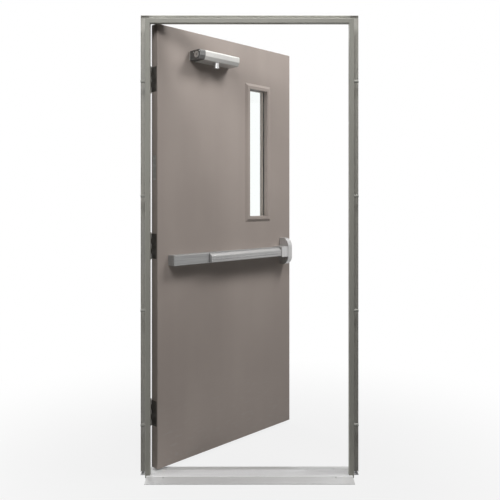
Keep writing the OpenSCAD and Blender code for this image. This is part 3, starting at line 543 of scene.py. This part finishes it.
bar_z = 0.956
pad_x, pad_l = 0.274, 0.4909
pad_back, pad_front, pad_slope = 0.020, 0.062, 0.0455
pad_reach = 0.021
pad_crease = 0.010
pad_wall, pad_hollow = 0.005, 0.030
groove_r, groove_d, groove_spots = 0.0011, 0.0010, (-0.0095, -0.0015)
rod_r, rod_l, rod_middle, rod_count = 0.004, 0.0290, 0.0360, 3
on_bar = (leaf_stand @ Matrix.Translation((hinge_edge_x, push_face_y, bar_z))
          @ Matrix.Rotation(math.pi / 2, 4, "X"))
section = [(-pad_reach, pad_back), (-pad_reach, pad_front)]
for spot in groove_spots:
    section += [(spot - groove_r, pad_front), (spot - groove_r, pad_front - groove_d),
                (spot + groove_r, pad_front - groove_d), (spot + groove_r, pad_front)]
section += [(pad_crease, pad_front), (pad_reach, pad_slope), (pad_reach, pad_back)]
pad = bmesh.new()
end = pad.faces.new([pad.verts.new((pad_x, up, out)) for up, out in section])
pull(pad, [end], (pad_l, 0, 0))
bmesh.ops.recalc_face_normals(pad, faces=pad.faces)
back = min(pad.faces, key=lambda f: f.calc_center_median().z)
bmesh.ops.inset_region(pad, faces=[back], thickness=pad_wall)
pull(pad, [back], (0, 0, pad_hollow))
# The lower front edge, the lower groove's lip, the crease and the ends are eased.
corners = [e for e in pad.edges
           if all(v.co.z > 0.04 and (abs(v.co.y) > 0.009 or v.co.z > pad_front - 0.0001)
                  and abs(v.co.z - 0.050) > 0.0001 for v in e.verts)
           and e.calc_face_angle(0) > 0.4
           and (e.verts[0].co.x == e.verts[1].co.x or abs(e.verts[0].co.y - 0.0055) > 0.016
                or abs(e.verts[0].co.y - 0.010) < 0.0001)]
bmesh.ops.bevel(pad, geom=corners, offset=0.0012, segments=3, profile=0.5,
                affect="EDGES", material=-1)
for i in range(rod_count):
    rod_x = pad_x + pad_l * (i + 0.5) / rod_count
    bmesh.ops.create_cone(
        pad, cap_ends=True, segments=24, radius1=rod_r, radius2=rod_r, depth=rod_l,
        matrix=Matrix.Translation((rod_x, 0, rod_middle)))
pad.transform(on_bar)
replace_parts(add_piece("sliding_pad", pad, satin_pad, "push_pad"),
            "push_pad")

guide_steel = Finish("plated guide", turn=-leaf_turn)
plating = guide_steel.grain(220.0, 4.0, stretch=(0.1, 1.0, 1.0))
guide_steel.show(
    base_color=guide_steel.tint(plating, (0.34, 0.34, 0.33), (0.46, 0.455, 0.43)),
    metallic=0.8,
    roughness=plating * 0.2 + 0.35,
    normal=guide_steel.bump(plating, 0.00005, guide_steel.soft_edge(0.0006)))
coat(guide_steel, "pad_guide")


# Latch case: a cast case at the lock edge with a tall rounded hood round the latch. It is
# silver like the bar and lightly polished. The latch is a solid steel nose.
polished = Finish("polished case", turn=-leaf_turn)
streak = polished.grain(260.0, 4.0, stretch=(1.0, 1.0, 0.05))
cloud = polished.grain(22.0, 3.0)
soft = polished.soft_edge(0.0012)
worn = polished.edge_mask(soft) * cloud.between(0.35, 0.6)
tone = polished.tint(streak.between(0.25, 0.75), (0.48, 0.475, 0.47), (0.58, 0.575, 0.57))
polished.show(
    base_color=polished.tint(worn * 0.5, tone, (0.72, 0.71, 0.70)),
    metallic=0.6,
    roughness=streak * 0.12 + cloud * 0.08 + 0.20,
    normal=polished.bump(streak, 0.00004, soft))
coat(polished, "latch_case")
coat(rolled_steel, "latch_case_base")

latch_steel = Finish("latch steel", turn=-leaf_turn)
rub = latch_steel.grain(240.0, 4.0, stretch=(0.05, 1.0, 1.0))
soft = latch_steel.soft_edge(0.0008)
worn = latch_steel.edge_mask(soft) * rub.between(0.35, 0.6)
tone = latch_steel.tint(rub, (0.40, 0.40, 0.395), (0.58, 0.58, 0.57))
latch_steel.show(
    base_color=latch_steel.tint(worn * 0.6, tone, (0.74, 0.74, 0.73)),
    metallic=0.85,
    roughness=rub * 0.2 + 0.22,
    normal=latch_steel.bump(rub, 0.00005, soft))
nose_tail, nose_slope, nose_tip = 0.8279, 0.8539, 0.8719
nose_low, nose_thin, nose_high = 0.012, 0.018, 0.042
nose_h, nose_edge = 0.049, 0.0008
outline = [(nose_tail, nose_low), (nose_tip, nose_low), (nose_tip, nose_thin),
           (nose_slope, nose_high), (nose_tail, nose_high)]
nose = bmesh.new()
side = nose.faces.new([nose.verts.new((along, -nose_h / 2, out)) for along, out in outline])
pull(nose, [side], (0, nose_h, 0))
bmesh.ops.recalc_face_normals(nose, faces=nose.faces)
bmesh.ops.bevel(nose, geom=nose.edges[:], offset=nose_edge, segments=2, profile=0.5,
                affect="EDGES", material=-1)
nose.transform(on_bar)
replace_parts(add_piece("latch_nose", nose, latch_steel, "latch_bolt"),
            "latch_bolt")


# Room: a white floor that keeps the shadow, white behind everything, five soft boxes on the
# right and in front, one low on the left and one behind, and the camera a little under eye
# height.
floor_paint = Finish("white floor")
speckle = floor_paint.grain(40.0, 3.0)
floor_paint.show(base_color=floor_paint.tint(speckle, (0.25, 0.25, 0.25), (0.28, 0.28, 0.28)),
                 roughness=0.9)
far = floor_paint.node("VectorMath", {"operation": "LENGTH"}, {0: floor_paint.place},
                       out="Value").between(0.5, 2.2)
seen = floor_paint.node("LightPath", out="Is Camera Ray")
mirrored = floor_paint.node("LightPath", out="Is Glossy Ray")
glow = floor_paint.node("Emission", {}, {"Color": (1.0, 1.0, 1.0), "Strength": 1.0})
shown = floor_paint.node(
    "MixShader", {},
    {0: seen * (far * 0.16 + 0.84) + mirrored * 0.9,
     1: Wire(floor_paint, floor_paint.shader.outputs[0]), 2: glow})
floor_paint.feed(floor_paint.tree.nodes["Material Output"].inputs["Surface"], shown)
ground = bmesh.new()
bmesh.ops.create_grid(ground, x_segments=4, y_segments=4, size=7.0)
ground_mesh = bpy.data.meshes.new("floor")
ground.to_mesh(ground_mesh)
ground.free()
ground_mesh.materials.append(floor_paint.material)
floor = bpy.data.objects.new("floor", ground_mesh)
bpy.context.scene.collection.objects.link(floor)

ambient = 0.02
white_room = Finish("white room", kind=bpy.data.worlds, shader="Background")
bpy.context.scene.world = white_room.material
direct, glossy, through_glass = (
    white_room.node("LightPath", out="Is " + ray + " Ray")
    for ray in ("Camera", "Glossy", "Transmission"))
white_room.show(color=(1.0, 1.0, 1.0),
                strength=direct.highest(glossy).highest(through_glass).highest(ambient))


def soft_box(name, across, up, away, side, watts):
    """A square lamp facing the door, placed by its angles in degrees and its distance."""
    target = Vector((-0.1, 0.15, 1.1))
    out = Vector((math.sin(math.radians(across)) * math.cos(math.radians(up)),
                  -math.cos(math.radians(across)) * math.cos(math.radians(up)),
                  math.sin(math.radians(up))))
    lamp = bpy.data.lights.new(name, "AREA")
    lamp.size = side
    lamp.energy = watts
    holder = bpy.data.objects.new(name, lamp)
    holder.location = target + away * out
    holder.rotation_euler = (-out).to_track_quat("-Z", "Y").to_euler()
    bpy.context.scene.collection.objects.link(holder)


soft_box("high right", 81, 55, 4.0, 1.1, 85.0)
soft_box("near right", 95, 50, 2.8, 0.8, 19.0)
soft_box("high front left", -8, 45, 2.8, 1.0, 22.0)
soft_box("high front right", 6, 44, 3.0, 1.0, 22.0)
soft_box("low right", 95, 12, 2.0, 1.0, 1.0)
soft_box("low left", -75, 4, 2.8, 1.0, 29.0)
soft_box("behind", 215, 25, 3.4, 1.4, 55.0)

camera = bpy.data.objects.new("camera", bpy.data.cameras.new("camera"))
camera.location = (-0.00444, -2.78930, 1.23616)
camera.rotation_euler = (math.radians(90.0), 0.0, math.radians(-0.1274))
camera.data.sensor_width = 36.0
camera.data.lens = 44.9355
camera.data.shift_y = -0.1018
bpy.context.scene.collection.objects.link(camera)
bpy.context.scene.camera = camera
bpy.context.scene.view_settings.view_transform = "Standard"
